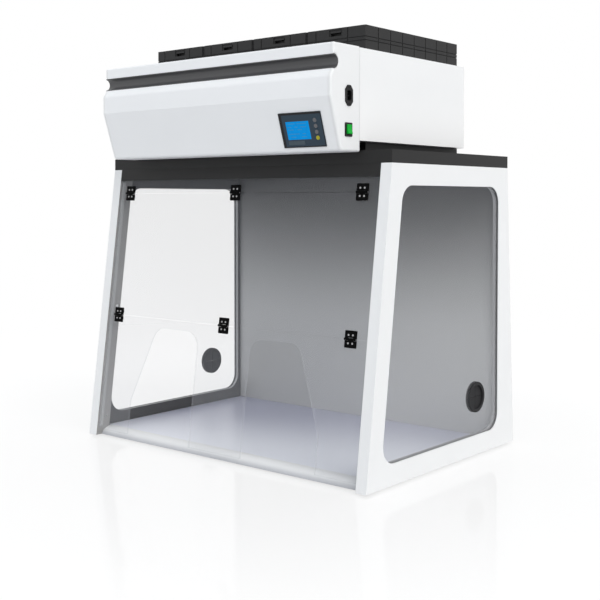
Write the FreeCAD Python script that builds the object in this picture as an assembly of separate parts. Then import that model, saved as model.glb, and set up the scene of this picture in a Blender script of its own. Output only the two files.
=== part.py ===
import FreeCAD, Part
import math
import os
from FreeCAD import Vector

# A bench-top ductless fume hood. Millimetres, +Z up, the front faces -Y, and the origin is the
# middle of the box around the hood, on the surface that it stands on.

# Cabinet
hood_width = 1000.0
side_depth = 708.0
side_height = 772.0
front_setback = 102.0
back_setback = 42.0
foot_height = 5.0
nose_overhang = 18.0

# Side frames: a painted skin and front stile outside, a grey liner frame inside
side_thickness = 18.0
skin = 2.0
stile_width = 31.0
stile_depth = 44.0
stile_wall = 2.0
liner_fit = 0.3

# Side windows, with their seals and cable ports
window_front_inset = 55.0
window_back_inset = 91.0
window_bottom_inset = 53.0
window_top_inset = 53.0
window_radius = 45.0
pane_thickness = 5.0
pane_overlap = 8.0
pane_fit = 0.4
seal_thickness = 1.5
seal_lip = 2.0
port_back_inset = 205.0
port_height = 155.0
port_radius = 41.0
port_neck_radius = 35.0
port_flange = 3.0
port_membrane = 2.0
port_slit = 1.2
port_fit = 0.3

# Base tray, worktop and feet
tray_sheet = 2.0
lip_front = 19.6
lip_depth = 37.0
lip_height = 20.6
lip_hem = 30.0
lip_arc_run = 13.0
lip_arc_rise = 14.8
lip_flat = 3.7
worktop_thickness = 6.0
worktop_side_gap = 1.0
worktop_front_gap = 1.0
side_fit = 0.5
pad_size = 40.0
pad_inset = 20.0
pad_front_inset = 40.0
pad_radius = 5.0

# Back
back_wall_inset = 80.0
back_sheet = 1.5
cover_inset = 1.0
post_size = 30.0
post_wall = 2.0
post_side_gap = 1.0

# Sloping front: apron, fixed strip, two hinged sashes
apron_height = 32.4
apron_thickness = 2.0
strip_lap = 19.0
sash_thickness = 6.0
sash_side_gap = 2.0
sash_joint_gap = 2.0
strip_drop = 37.3
hinge_middle_run = 354.0
sash_bottom_run = 20.0
arm_inner_x = 94.0
arm_head = 26.0
arm_outer_top_x = 259.5
arm_outer_bottom_x = 341.5
arm_bend_run = 116.0
arm_radius = 42.0
arm_bend_radius = 60.0

# Hinges
hinge_inset = 49.0
leaf_width = 35.0
leaf_reach = 21.0
leaf_thickness = 2.5
knuckle_radius = 3.0
knuckle_clearance = 0.4
knuckle_middle = 15.0
knuckle_gap = 0.4
pin_radius = 1.5
pin_fit = 0.05
leaf_corner_radius = 2.0
screw_spread_x = 13.0
screw_spread_z = 20.0
screw_radius = 1.5
screw_head_radius = 2.4
screw_head_height = 0.5
nut_radius = 3.0
nut_height = 2.4

# Pale rest strips that the closed sashes lean on, and the plugs and holes in the stiles
rest_width = 5.0
rest_depth = 8.5
rest_gap = 0.3
rest_bottom_run = 27.0
rest_top_gap = 3.0
stile_hole_radius = 2.5
stile_hole_depth = 31.0
plug_run = 378.0
catch_run = 54.0
plug_fit = 0.1
plug_head_radius = 4.0
plug_head = 1.5

# Top frame, ceiling grille and collar
top_frame_height = 32.0
air_margin = 14.0
grille_sheet = 2.0
grille_slot_width = 9.0
grille_slot_pitch = 18.0
grille_slot_rows = 3
grille_slot_bridge = 16.0
prefilter_thickness = 12.0
prefilter_fit = 1.0
collar_height = 23.5
collar_wall = 3.0

# Filter cassettes on the head
filter_side_inset = 26.0
filter_front = 163.0
filter_back_inset = 110.0
filter_tier_height = 33.0
filter_columns = 4
cassette_gap = 1.0
cassette_cells = 8
cassette_groove_width = 2.6
cassette_groove_depth = 2.2
cassette_rim = 3.5
cassette_rim_groove = 2.2
cassette_joint_width = 4.0
cassette_joint_depth = 3.0
cassette_edge_radius = 2.5
grid_rows = 8
grid_columns = 4
grid_rib = 4.0
grid_border = 9.0
grid_depth = 7.0
front_ribs = (0.16, 0.705)
latch_start = 0.39
latch_end = 0.61
latch_height = 20.0
latch_rail = 4.0
latch_depth = 2.2
finger_height = 8.0
finger_depth = 12.0
filter_ledge = 10.0

# Head housing
housing_side_inset = 96.0
housing_front = 100.0
housing_back_inset = 108.0
housing_height = 225.0
housing_wall = 2.0
housing_radius = 12.0

# Fascia
fascia_side_inset = 90.0
fascia_drop = 4.5
fascia_rise = 1.5
fascia_back = 94.5
fascia_wall = 2.5
fascia_lip_setback = 11.0
fascia_lip_height = 28.0
groove_radius = 17.0
fascia_shoulder = 18.0
fascia_crease_height = 128.0
fascia_bottom_setback = 41.0
fascia_bottom_radius = 10.0
fascia_top_radius = 5.0
fascia_nose_radius = 14.0
trim_thickness = 2.0
trim_fit = 0.1
cap_depth = 10.0
cap_plate = 3.0
cap_edge_radius = 5.0
cap_flange = 3.0
cap_flange_inset = 7.0

# Control panel on the fascia's slanted lower face
panel_inset = 40.0
panel_width = 132.0
panel_height = 87.0
panel_bottom_run = 12.5
panel_plate = 2.0
panel_radius = 2.0
display_width = 72.0
display_height = 45.0
display_left_inset = 18.5
display_bottom_inset = 20.0
display_glass = 1.2
display_step = 2.0
key_radius = 5.1
key_fit = 0.3
key_inset = 21.0
key_runs = (22.5, 37.0, 51.5, 66.0)
key_proud = 1.0
key_flange_radius = 6.7
key_flange = 1.0
key_gap = 0.1
key_travel = 0.8
board_depth = 12.0
board_thickness = 1.6
boss_radius = 3.5
boss_inset = 7.0
switch_block = 3.0
switch_block_size = 6.0
panel_hole_margin = 6.0

# Power inlet and rocker switch on the right fascia end
inlet_y = 50.5
inlet_height = 132.5
inlet_flange_height = 50.0
inlet_flange_width = 29.0
inlet_end_width = 11.0
inlet_corner = 3.6
inlet_flange = 2.5
inlet_body_height = 28.8
inlet_body_width = 21.2
inlet_body_depth = 26.0
inlet_wall = 2.2
inlet_socket_depth = 17.0
inlet_fit = 0.25
contact_width = 4.0
contact_thickness = 2.0
contact_length = 12.0
contact_spread = 7.0
switch_y = 49.0
switch_height = 51.5
bezel_height = 33.0
bezel_width = 27.0
bezel_flange = 2.5
bezel_body_height = 27.0
bezel_body_width = 21.0
bezel_body_depth = 20.0
bezel_wall = 1.5
bezel_radius = 1.5
rocker_gap = 0.5
rocker_reach = 4.0
rocker_depth = 8.0
rocker_waist = 0.45
rocker_tilt = 9.0
trunnion_radius = 1.5
trunnion_length = 1.0
trunnion_fit = 0.08
trunnion_end_gap = 0.2

# Fans, their deck and the electrical parts
fan_inset = 214.0
deck_sheet = 3.0
throat_radius = 70.0
throat_wall = 2.0
throat_height = 20.0
throat_flange = 14.0
impeller_radius = 118.0
impeller_gap = 2.5
impeller_floor_gap = 16.0
impeller_height = 66.0
impeller_sheet = 2.5
shroud_rise = 12.0
blade_count = 7
blade_inner_radius = 80.0
blade_sweep = 34.0
blade_bulge = 0.12
hub_radius = 14.0
shaft_radius = 6.0
shaft_fit = 0.05
motor_radius = 42.0
motor_height = 32.0
motor_gap = 8.0
bridge_sheet = 4.0
bridge_width = 36.0
bridge_clearance = 14.0
bridge_foot = 22.0
supply_length = 160.0
supply_depth = 46.0
supply_height = 90.0
supply_x = -80.0
supply_bottom = 60.0

# Places that follow from the sizes above
total_depth = side_depth + nose_overhang
front_y = nose_overhang - total_depth / 2
back_y = front_y + side_depth
base_z = foot_height
side_top_z = base_z + side_height
outer_x = hood_width / 2
side_inner_x = outer_x - side_thickness
stile_inner_x = outer_x - stile_width
tilt = math.atan2(front_setback, side_height)
tilt_deg = math.degrees(tilt)
slope_length = math.hypot(front_setback, side_height)
back_wall_y = back_y - back_wall_inset
worktop_z = base_z + lip_height
tray_top_z = worktop_z - worktop_thickness
frame_top_z = side_top_z + top_frame_height
frame_front_y = front_y + front_setback
frame_back_y = back_y - back_setback
housing_width = hood_width - 2 * housing_side_inset
filter_width = housing_width - 2 * filter_side_inset
fascia_width = hood_width - 2 * fascia_side_inset
housing_bottom_z = frame_top_z + collar_height
housing_top_z = housing_bottom_z + housing_height
housing_front_y = front_y + housing_front
housing_back_y = back_y - housing_back_inset
filter_front_y = front_y + filter_front
filter_back_y = back_y - filter_back_inset
opening_x = filter_width / 2 - air_margin
opening_front_y = filter_front_y + air_margin
opening_back_y = filter_back_y - air_margin
fascia_bottom_z = frame_top_z - fascia_drop
fascia_top_z = housing_top_z + fascia_rise
fascia_nose_y = front_y - nose_overhang
fascia_lip_y = fascia_nose_y + fascia_lip_setback
fascia_bottom_y = fascia_nose_y + fascia_bottom_setback
fascia_back_y = front_y + fascia_back
fascia_crease_z = fascia_bottom_z + fascia_crease_height
groove_z = fascia_top_z - fascia_lip_height - groove_radius
face_tilt_deg = math.degrees(math.atan2(fascia_bottom_setback, fascia_crease_height))
deck_top_z = housing_bottom_z + housing_wall + deck_sheet
fan_y = (opening_front_y + opening_back_y) / 2
hinge_offset = knuckle_radius + knuckle_clearance
sash_face = apron_thickness
hinge_depth = sash_face - hinge_offset
sash_x = stile_inner_x - sash_side_gap
hinge_x = stile_inner_x - hinge_inset
hinge_top_run = slope_length - apron_height - strip_drop


def front_line_y(z):
    """The Y of the side frames' sloping front edge at a height."""
    return front_y + front_setback * (z - base_z) / side_height


def back_line_y(z):
    """The Y of the side frames' sloping back edge at a height."""
    return back_y - back_setback * (z - base_z) / side_height


def box(x_range, y_range, z_range):
    """A block between two values on each axis."""
    size = [high - low for low, high in (x_range, y_range, z_range)]
    return Part.makeBox(*size, Vector(x_range[0], y_range[0], z_range[0]))


def rounded_face(corners, radii):
    """A flat face with the given corners, each rounded by its own radius, where 0 stays sharp."""
    edges = []
    joints = []
    for index, corner in enumerate(corners):
        to_last = (corners[index - 1] - corner).normalize()
        to_next = (corners[(index + 1) % len(corners)] - corner).normalize()
        radius = radii[index]
        if radius == 0:
            joints.append((corner, corner, corner))
            continue
        half_angle = to_last.getAngle(to_next) / 2
        run = radius / math.tan(half_angle)
        inward = (to_last + to_next).normalize()
        middle = corner + inward * (radius / math.sin(half_angle) - radius)
        joints.append((corner + to_last * run, middle, corner + to_next * run))
    for index, (start, middle, end) in enumerate(joints):
        if start != end:
            edges.append(Part.Arc(start, middle, end).toShape())
        next_start = joints[(index + 1) % len(joints)][0]
        if end.distanceToPoint(next_start) > 0.001:
            edges.append(Part.makeLine(end, next_start))
    return Part.Face(Part.Wire(edges))


def prism_x(outline, x_low, x_high, radii=None):
    """A prism along X from (y, z) corners."""
    corners = [Vector(x_low, y, z) for y, z in outline]
    face = rounded_face(corners, radii or [0] * len(corners))
    return face.extrude(Vector(x_high - x_low, 0, 0))


def prism_y(outline, y_low, y_high, radii=None):
    """A prism along Y from (x, z) corners."""
    corners = [Vector(x, y_low, z) for x, z in outline]
    face = rounded_face(corners, radii or [0] * len(corners))
    return face.extrude(Vector(0, y_high - y_low, 0))


def prism_z(outline, z_low, z_high, radii=None):
    """A prism along Z from (x, y) corners."""
    corners = [Vector(x, y, z_low) for x, y in outline]
    face = rounded_face(corners, radii or [0] * len(corners))
    return face.extrude(Vector(0, 0, z_high - z_low))


def rectangle(low_a, high_a, low_b, high_b):
    """The four corners of a rectangle in any plane."""
    return [(low_a, low_b), (high_a, low_b), (high_a, high_b), (low_a, high_b)]


def rod(radius, start, direction, length):
    """A round rod from a point."""
    return Part.makeCylinder(radius, length, Vector(*start), Vector(*direction))


def fuse(shapes):
    """One solid from several that meet."""
    joined = shapes[0].multiFuse(shapes[1:]) if len(shapes) > 1 else shapes[0]
    return joined.removeSplitter()


def mirrored(shape):
    """The same piece on the hood's left side."""
    return shape.mirror(Vector(0, 0, 0), Vector(1, 0, 0))


def on_front(shape):
    """Places a piece drawn on the sloping front: x across, y into the hood, z up the slope."""
    placed = shape.copy()
    placed.rotate(Vector(0, 0, 0), Vector(1, 0, 0), -tilt_deg)
    placed.translate(Vector(0, front_y, base_z))
    return placed


def on_panel(shape):
    """Places a piece drawn on the fascia's slanted lower face, in the same way."""
    placed = shape.copy()
    placed.rotate(Vector(0, 0, 0), Vector(1, 0, 0), face_tilt_deg)
    placed.translate(Vector(0, fascia_bottom_y, fascia_bottom_z))
    return placed


def write(name, shape):
    """Writes one piece, or one group of like pieces, to its own file."""
    if not shape.isValid() or not shape.Solids:
        raise ValueError("no valid solid in " + name)
    shape.exportStep(os.path.join("parts", name + ".step"))


def window_outline(grow):
    """The side window's corners, grown outwards by the same amount on every edge."""
    bottom = base_z + window_bottom_inset - grow
    top = side_top_z - window_top_inset + grow
    back = back_y - window_back_inset + grow
    front_shift = window_front_inset - grow / math.cos(tilt)
    return [
        (front_line_y(bottom) + front_shift, bottom),
        (back, bottom),
        (back, top),
        (front_line_y(top) + front_shift, top),
    ]


def window_prism(grow, x_low, x_high):
    """A prism of the window's shape."""
    return prism_x(window_outline(grow), x_low, x_high, [window_radius + grow] * 4)


def side_outline(front_inset, back_inset, bottom_inset, top_inset):
    """The side frame's outline, drawn in by an amount on each edge."""
    bottom = base_z + bottom_inset
    top = side_top_z - top_inset
    return [
        (front_line_y(bottom) + front_inset, bottom),
        (back_line_y(bottom) - back_inset, bottom),
        (back_line_y(top) - back_inset, top),
        (front_line_y(top) + front_inset, top),
    ]


def side_frame():
    """The right outer skin with folded edges, its window opening and its hollow front stile."""
    skin_inner_x = outer_x - skin
    plate = prism_x(side_outline(0, 0, 0, 0), side_inner_x, outer_x)
    pocket = prism_x(side_outline(stile_depth, skin, skin, skin), side_inner_x, skin_inner_x)
    opening = window_prism(0, skin_inner_x, outer_x)
    stile_outline = [
        (front_y, base_z),
        (front_y + stile_depth, base_z),
        (frame_front_y + stile_depth, side_top_z),
        (frame_front_y, side_top_z),
    ]
    stile = prism_x(stile_outline, stile_inner_x, outer_x)
    hollow_outline = [
        (front_y + stile_wall, base_z),
        (front_y + stile_depth - stile_wall, base_z),
        (frame_front_y + stile_depth - stile_wall, side_top_z),
        (frame_front_y + stile_wall, side_top_z),
    ]
    hollow = prism_x(hollow_outline, stile_inner_x + stile_wall, outer_x - stile_wall)
    frame = fuse([plate.cut(pocket).cut(opening), stile]).cut(hollow)
    return frame.cut([stile_hole(plug_run), stile_hole(catch_run)])


def side_liner():
    """The right inner frame that clamps the window pane against the outer skin."""
    skin_inner_x = outer_x - skin
    edge = skin + liner_fit
    outline = side_outline(stile_depth + liner_fit, edge, edge, edge)
    frame = prism_x(outline, side_inner_x, skin_inner_x)
    seat_x = skin_inner_x - pane_thickness - seal_thickness
    pocket = window_prism(pane_overlap + pane_fit, seat_x, skin_inner_x)
    return frame.cut(pocket).cut(window_prism(0, side_inner_x, skin_inner_x))


def port_centre_y():
    """The Y of the cable ports."""
    return back_y - port_back_inset


def side_window():
    """The right clear pane, with the hole for its cable port."""
    outer = outer_x - skin
    inner = outer - pane_thickness
    pane = window_prism(pane_overlap, inner, outer)
    hole = rod(port_neck_radius + port_fit, (inner, port_centre_y(), base_z + port_height),
               (1, 0, 0), pane_thickness)
    return pane.cut(hole)


def window_seal():
    """The right rubber ring between the pane and the liner."""
    outer = outer_x - skin - pane_thickness
    inner = outer - seal_thickness
    ring = window_prism(pane_overlap, inner, outer)
    return ring.cut(window_prism(-seal_lip, inner, outer))


def cable_port():
    """The right rubber port: two flanges on a neck, closed by a membrane with crossed slits."""
    centre_y = port_centre_y()
    centre_z = base_z + port_height
    pane_outer = outer_x - skin
    pane_inner = pane_outer - pane_thickness
    outer_flange = rod(port_radius, (pane_outer, centre_y, centre_z), (1, 0, 0), port_flange)
    inner_flange = rod(port_radius, (pane_inner, centre_y, centre_z), (-1, 0, 0), port_flange)
    neck = rod(port_neck_radius, (pane_inner, centre_y, centre_z), (1, 0, 0), pane_thickness)
    bore_radius = port_neck_radius - port_flange
    dish = rod(bore_radius, (pane_inner + port_membrane, centre_y, centre_z), (1, 0, 0),
               pane_thickness + port_flange)
    port = fuse([outer_flange, inner_flange, neck]).cut(dish)
    rim_edges = [edge for edge in port.Edges
                 if abs(edge.BoundBox.XMin - pane_outer - port_flange) < 0.01
                 and edge.BoundBox.YLength > 2 * port_radius - 1]
    port = port.makeFillet(port_flange / 2, rim_edges)
    slit_reach = bore_radius - port_flange
    slit_x = (pane_inner - port_flange, pane_outer)
    upright = box(slit_x, (centre_y - port_slit / 2, centre_y + port_slit / 2),
                  (centre_z - slit_reach, centre_z + slit_reach))
    level = box(slit_x, (centre_y - slit_reach, centre_y + slit_reach),
                (centre_z - port_slit / 2, centre_z + port_slit / 2))
    return port.cut(upright).cut(level)


def base_tray():
    """The folded base: a rounded lip between the stiles and a sheet under the worktop."""
    lip_start_y = front_y + lip_front
    lip_top_y = lip_start_y + lip_depth
    seat_z = tray_top_z
    lip_x = stile_inner_x - side_fit
    sheet_x = side_inner_x - side_fit
    step_y = lip_top_y + tray_sheet
    outer_arc = (Vector(-lip_x, lip_start_y, base_z + tray_sheet),
                 Vector(-lip_x, lip_start_y + lip_arc_run, base_z + lip_arc_rise),
                 Vector(-lip_x, lip_top_y - lip_flat, worktop_z))
    inner_arc = (outer_arc[0] + Vector(0, tray_sheet, 0),
                 outer_arc[1] + Vector(0, tray_sheet, -tray_sheet / 2),
                 outer_arc[2] - Vector(0, 0, tray_sheet))
    tray_end_y = back_line_y(seat_z) - cover_inset - back_sheet - side_fit
    hem_y = lip_start_y + lip_hem
    profile = [
        Part.makeLine(Vector(-lip_x, lip_start_y, base_z), outer_arc[0]),
        Part.Arc(*outer_arc).toShape(),
        Part.makeLine(outer_arc[2], Vector(-lip_x, step_y, worktop_z)),
        Part.makeLine(Vector(-lip_x, step_y, worktop_z), Vector(-lip_x, step_y, seat_z)),
        Part.makeLine(Vector(-lip_x, step_y, seat_z), Vector(-lip_x, tray_end_y, seat_z)),
        Part.makeLine(Vector(-lip_x, tray_end_y, seat_z),
                      Vector(-lip_x, tray_end_y, seat_z - tray_sheet)),
        Part.makeLine(Vector(-lip_x, tray_end_y, seat_z - tray_sheet),
                      Vector(-lip_x, lip_top_y, seat_z - tray_sheet)),
        Part.makeLine(Vector(-lip_x, lip_top_y, seat_z - tray_sheet),
                      Vector(-lip_x, lip_top_y, worktop_z - tray_sheet)),
        Part.makeLine(Vector(-lip_x, lip_top_y, worktop_z - tray_sheet), inner_arc[2]),
        Part.Arc(inner_arc[2], inner_arc[1], inner_arc[0]).toShape(),
        Part.makeLine(inner_arc[0], Vector(-lip_x, hem_y, base_z + tray_sheet)),
        Part.makeLine(Vector(-lip_x, hem_y, base_z + tray_sheet), Vector(-lip_x, hem_y, base_z)),
        Part.makeLine(Vector(-lip_x, hem_y, base_z), Vector(-lip_x, lip_start_y, base_z)),
    ]
    folded = Part.Face(Part.Wire(profile)).extrude(Vector(2 * lip_x, 0, 0))
    wing_front_y = front_line_y(worktop_z) + stile_depth + side_fit
    wings = []
    for side in (-1, 1):
        low, high = sorted((side * (lip_x - tray_sheet), side * sheet_x))
        wings.append(box((low, high), (wing_front_y, tray_end_y), (seat_z - tray_sheet, seat_z)))
        low, high = sorted((side * (sheet_x - tray_sheet), side * sheet_x))
        wings.append(box((low, high), (wing_front_y, tray_end_y), (base_z, seat_z)))
    wings.append(box((-sheet_x, sheet_x), (tray_end_y - tray_sheet, tray_end_y), (base_z, seat_z)))
    return fuse([folded] + wings)


def worktop():
    """The smooth work surface, dropped in behind the lip."""
    front = front_y + lip_front + lip_depth + tray_sheet + worktop_front_gap
    reach = side_inner_x - worktop_side_gap
    return box((-reach, reach), (front, back_wall_y - side_fit), (tray_top_z, worktop_z))


def foot_pads():
    """Four rubber pads under the corners of the side frames and tray."""
    pads = []
    for x_side in (-1, 1):
        edge = outer_x - pad_inset
        low, high = sorted((x_side * edge, x_side * (edge - pad_size)))
        for y in (front_y + pad_front_inset, back_y - pad_inset - pad_size):
            outline = rectangle(low, high, y, y + pad_size)
            pads.append(prism_z(outline, 0, foot_height, [pad_radius] * 4))
    return Part.makeCompound(pads)


def back_liner():
    """The grey wall at the back of the work chamber, standing on the tray."""
    reach = side_inner_x - side_fit
    return box((-reach, reach), (back_wall_y, back_wall_y + back_sheet), (tray_top_z, side_top_z))


def rear_cover():
    """The painted outer back sheet, in the slope of the side frames' back edges."""
    reach = side_inner_x - side_fit
    low_y = back_line_y(base_z) - cover_inset
    high_y = back_line_y(side_top_z) - cover_inset
    outline = [(low_y - back_sheet, base_z), (low_y, base_z),
               (high_y, side_top_z), (high_y - back_sheet, side_top_z)]
    return prism_x(outline, -reach, reach)


def rear_posts():
    """Two square tubes between the back wall and the rear cover."""
    posts = []
    for side in (-1, 1):
        edge = side_inner_x - side_fit - post_side_gap
        low, high = sorted((side * edge, side * (edge - post_size)))
        y_low = back_wall_y + back_sheet
        tube = box((low, high), (y_low, y_low + post_size), (tray_top_z, side_top_z))
        bore = box((low + post_wall, high - post_wall),
                   (y_low + post_wall, y_low + post_size - post_wall), (tray_top_z, side_top_z))
        posts.append(tube.cut(bore))
    return Part.makeCompound(posts)


def top_frame():
    """The dark folded pan on the side frames, with a walled air opening in the middle."""
    pan = box((-outer_x, outer_x), (frame_front_y, frame_back_y), (side_top_z, frame_top_z))
    room = box((-outer_x + skin, outer_x - skin), (frame_front_y + skin, frame_back_y - skin),
               (side_top_z, frame_top_z - skin))
    wall = box((-opening_x - skin, opening_x + skin),
               (opening_front_y - skin, opening_back_y + skin), (side_top_z, frame_top_z))
    air = box((-opening_x, opening_x), (opening_front_y, opening_back_y),
              (side_top_z, frame_top_z))
    return fuse([pan.cut(room), wall]).cut(air)


def front_apron():
    """The dark strip below the top frame, between the stiles, on the sloping front."""
    reach = stile_inner_x - side_fit
    low = slope_length - apron_height
    sheet = on_front(box((-reach, reach), (0, apron_thickness), (low, slope_length + leaf_reach)))
    above = box((-outer_x, outer_x), (front_y, frame_back_y), (side_top_z, frame_top_z))
    return sheet.cut(above)


def fixed_strip():
    """The clear strip behind the apron that the upper hinges hang from."""
    low = hinge_top_run + sash_joint_gap / 2
    high = slope_length - apron_height + strip_lap
    return on_front(box((-sash_x, sash_x), (sash_face, sash_face + sash_thickness), (low, high)))


def sash_upper():
    """The clear upper sash."""
    low = hinge_middle_run + sash_joint_gap / 2
    high = hinge_top_run - sash_joint_gap / 2
    return on_front(box((-sash_x, sash_x), (sash_face, sash_face + sash_thickness), (low, high)))


def sash_lower():
    """The clear lower sash, with its two arm openings that run out at the bottom edge."""
    high = hinge_middle_run - sash_joint_gap / 2
    y_low = sash_face
    y_high = sash_face + sash_thickness
    pane = prism_y(rectangle(-sash_x, sash_x, sash_bottom_run, high), y_low, y_high,
                   [leaf_corner_radius] * 4)
    arm_top_run = hinge_middle_run - arm_head
    notch = prism_y([(arm_inner_x, 0), (arm_outer_bottom_x, 0),
                     (arm_outer_bottom_x, arm_bend_run),
                     (arm_outer_top_x, arm_top_run),
                     (arm_inner_x, arm_top_run)], y_low, y_high,
                    [0, 0, arm_bend_radius, arm_radius, arm_radius])
    return on_front(pane.cut(notch).cut(mirrored(notch)))


def hinge_leaf(fixed):
    """One hinge leaf on the sloping front, about its own pin axis at z = 0, pointing up."""
    half = leaf_width / 2
    inner = knuckle_middle / 2
    gap = knuckle_gap / 2
    plate_low = hinge_offset - leaf_thickness
    if fixed:
        spans = [(-half, -inner - gap), (inner + gap, half)]
        reliefs = [(-inner - gap, inner + gap)]
    else:
        spans = [(-inner + gap, inner - gap)]
        reliefs = [(-half, -inner + gap), (inner - gap, half)]
    plate = prism_y(rectangle(-half, half, 0, leaf_reach), plate_low, hinge_offset,
                    [0, 0, leaf_corner_radius, leaf_corner_radius])
    relief_height = knuckle_radius + knuckle_clearance
    for low, high in reliefs:
        plate = plate.cut(box((low, high), (plate_low, hinge_offset), (0, relief_height)))
    knuckles = [rod(knuckle_radius, (low, 0, 0), (1, 0, 0), high - low) for low, high in spans]
    leaf = fuse([plate] + knuckles)
    bore = pin_radius if fixed else pin_radius + pin_fit
    leaf = leaf.cut(rod(bore, (-half, 0, 0), (1, 0, 0), leaf_width))
    for side in (-1, 1):
        start = (side * screw_spread_x / 2, plate_low, screw_spread_z / 2)
        leaf = leaf.cut(rod(screw_radius, start, (0, 1, 0), leaf_thickness))
    return leaf


def hinge_screws(upward):
    """The two screws and nuts of one leaf, through the leaf and its pane."""
    turn = 1 if upward else -1
    pieces = []
    plate_low = hinge_offset - leaf_thickness
    length = leaf_thickness + sash_thickness + nut_height
    for side in (-1, 1):
        x = side * screw_spread_x / 2
        z = turn * screw_spread_z / 2
        head = rod(screw_head_radius, (x, plate_low, z), (0, -1, 0), screw_head_height)
        shank = rod(screw_radius, (x, plate_low, z), (0, 1, 0), length)
        nut = rod(nut_radius, (x, plate_low + leaf_thickness + sash_thickness, z), (0, 1, 0),
                  nut_height)
        pieces.append(fuse([head, shank, nut]))
    return pieces


def drilled(pane, run, upward):
    """A pane with the holes for one row of hinge screws."""
    holes = []
    turn = 1 if upward else -1
    for x in hinge_positions():
        for side in (-1, 1):
            centre = (x + side * screw_spread_x / 2, sash_face, run + turn * screw_spread_z / 2)
            holes.append(on_front(rod(screw_radius, centre, (0, 1, 0), sash_thickness)))
    return pane.cut(holes)


def hinge_positions():
    """Where the hinges stand across the hood."""
    return (-hinge_x, 0.0, hinge_x)


def hinge_row(pieces, run):
    """Copies pieces drawn about a pin axis to each hinge of one row."""
    placed = []
    for x in hinge_positions():
        for piece in pieces:
            copy = piece.copy()
            copy.translate(Vector(x, hinge_depth, run))
            placed.append(on_front(copy))
    return placed


def downward(shape):
    """Turns an upward leaf to point down, about its pin axis."""
    turned = shape.copy()
    turned.rotate(Vector(0, 0, 0), Vector(0, 1, 0), 180)
    return turned


def hinge_pin():
    """One hinge pin along its axis."""
    return rod(pin_radius, (-leaf_width / 2, 0, 0), (1, 0, 0), leaf_width)


def rest_strips():
    """The pale strips on the stiles' inner faces, just behind the closed sashes."""
    front = sash_face + sash_thickness + rest_gap
    high = slope_length - apron_height - rest_top_gap
    strip = on_front(box((stile_inner_x - rest_width, stile_inner_x),
                         (front, front + rest_depth), (rest_bottom_run, high)))
    return Part.makeCompound([strip, mirrored(strip)])


def stile_hole(run):
    """A round hole through the right stile's inner wall, at a run up the slope."""
    return on_front(rod(stile_hole_radius, (stile_inner_x, stile_hole_depth, run), (1, 0, 0),
                        stile_wall))


def stile_plugs():
    """The domed plugs that close the stiles' upper holes."""
    centre = (stile_inner_x, stile_hole_depth, plug_run)
    shank = rod(stile_hole_radius - plug_fit, centre, (1, 0, 0), stile_wall)
    head = rod(plug_head_radius, centre, (-1, 0, 0), plug_head)
    rim = [edge for edge in head.Edges
           if edge.Closed and edge.BoundBox.XMax < stile_inner_x - plug_head / 2]
    plug = on_front(fuse([shank, head.makeFillet(plug_head / 2, rim)]))
    return Part.makeCompound([plug, mirrored(plug)])


def ceiling_grille():
    """The grey ceiling sheet of the chamber, slotted under the air opening."""
    reach = side_inner_x - side_fit
    y_low = frame_front_y + stile_depth + side_fit
    sheet = box((-reach, reach), (y_low, back_wall_y - side_fit),
                (side_top_z - grille_sheet, side_top_z))
    count = int(2 * (opening_x - grille_slot_pitch) / grille_slot_pitch)
    row_length = (opening_back_y - opening_front_y) / grille_slot_rows
    slots = []
    for column in range(count):
        x = (column - (count - 1) / 2) * grille_slot_pitch
        for row in range(grille_slot_rows):
            start = opening_front_y + row * row_length + grille_slot_bridge / 2
            end = start + row_length - grille_slot_bridge
            slots.append(box((x - grille_slot_width / 2, x + grille_slot_width / 2), (start, end),
                             (side_top_z - grille_sheet, side_top_z)))
    return sheet.cut(slots)


def prefilter_panel():
    """The bonded fibre panel that lies on the grille, in the frame's opening."""
    return box((-opening_x + prefilter_fit, opening_x - prefilter_fit),
               (opening_front_y + prefilter_fit, opening_back_y - prefilter_fit),
               (side_top_z, side_top_z + prefilter_thickness))


def head_collar():
    """The dark collar between the top frame and the housing."""
    reach = filter_width / 2
    outer = box((-reach, reach), (filter_front_y, filter_back_y), (frame_top_z, housing_bottom_z))
    inner_reach = reach - collar_wall
    inner = box((-inner_reach, inner_reach),
                (filter_front_y + collar_wall, filter_back_y - collar_wall),
                (frame_top_z, housing_bottom_z))
    return outer.cut(inner)


def cassette_x(column):
    """The left and right edges of one filter column."""
    pitch = filter_width / filter_columns
    low = -filter_width / 2 + column * pitch
    return low + cassette_gap / 2, low + pitch - cassette_gap / 2


def housing_shell():
    """The painted fan box, open below for the air and above under each cassette."""
    half = housing_width / 2
    shell = box((-half, half), (housing_front_y, housing_back_y), (housing_bottom_z, housing_top_z))
    back_edges = [edge for edge in shell.Edges
                  if edge.BoundBox.YMin > housing_back_y - 0.01]
    shell = shell.makeFillet(housing_radius, back_edges)
    room = box((-half + housing_wall, half - housing_wall),
               (housing_front_y + housing_wall, housing_back_y - housing_wall),
               (housing_bottom_z + housing_wall, housing_top_z - housing_wall))
    room_edges = [edge for edge in room.Edges
                  if edge.BoundBox.YMin > housing_back_y - housing_wall - 0.01]
    shell = shell.cut(room.makeFillet(housing_radius - housing_wall, room_edges))
    shell = shell.cut(box((-opening_x, opening_x), (opening_front_y, opening_back_y),
                          (housing_bottom_z, housing_bottom_z + housing_wall)))
    for column in range(filter_columns):
        low, high = cassette_x(column)
        shell = shell.cut(box((low + filter_ledge, high - filter_ledge),
                              (filter_front_y + filter_ledge, filter_back_y - filter_ledge),
                              (housing_top_z - housing_wall, housing_top_z)))
    return shell


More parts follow.
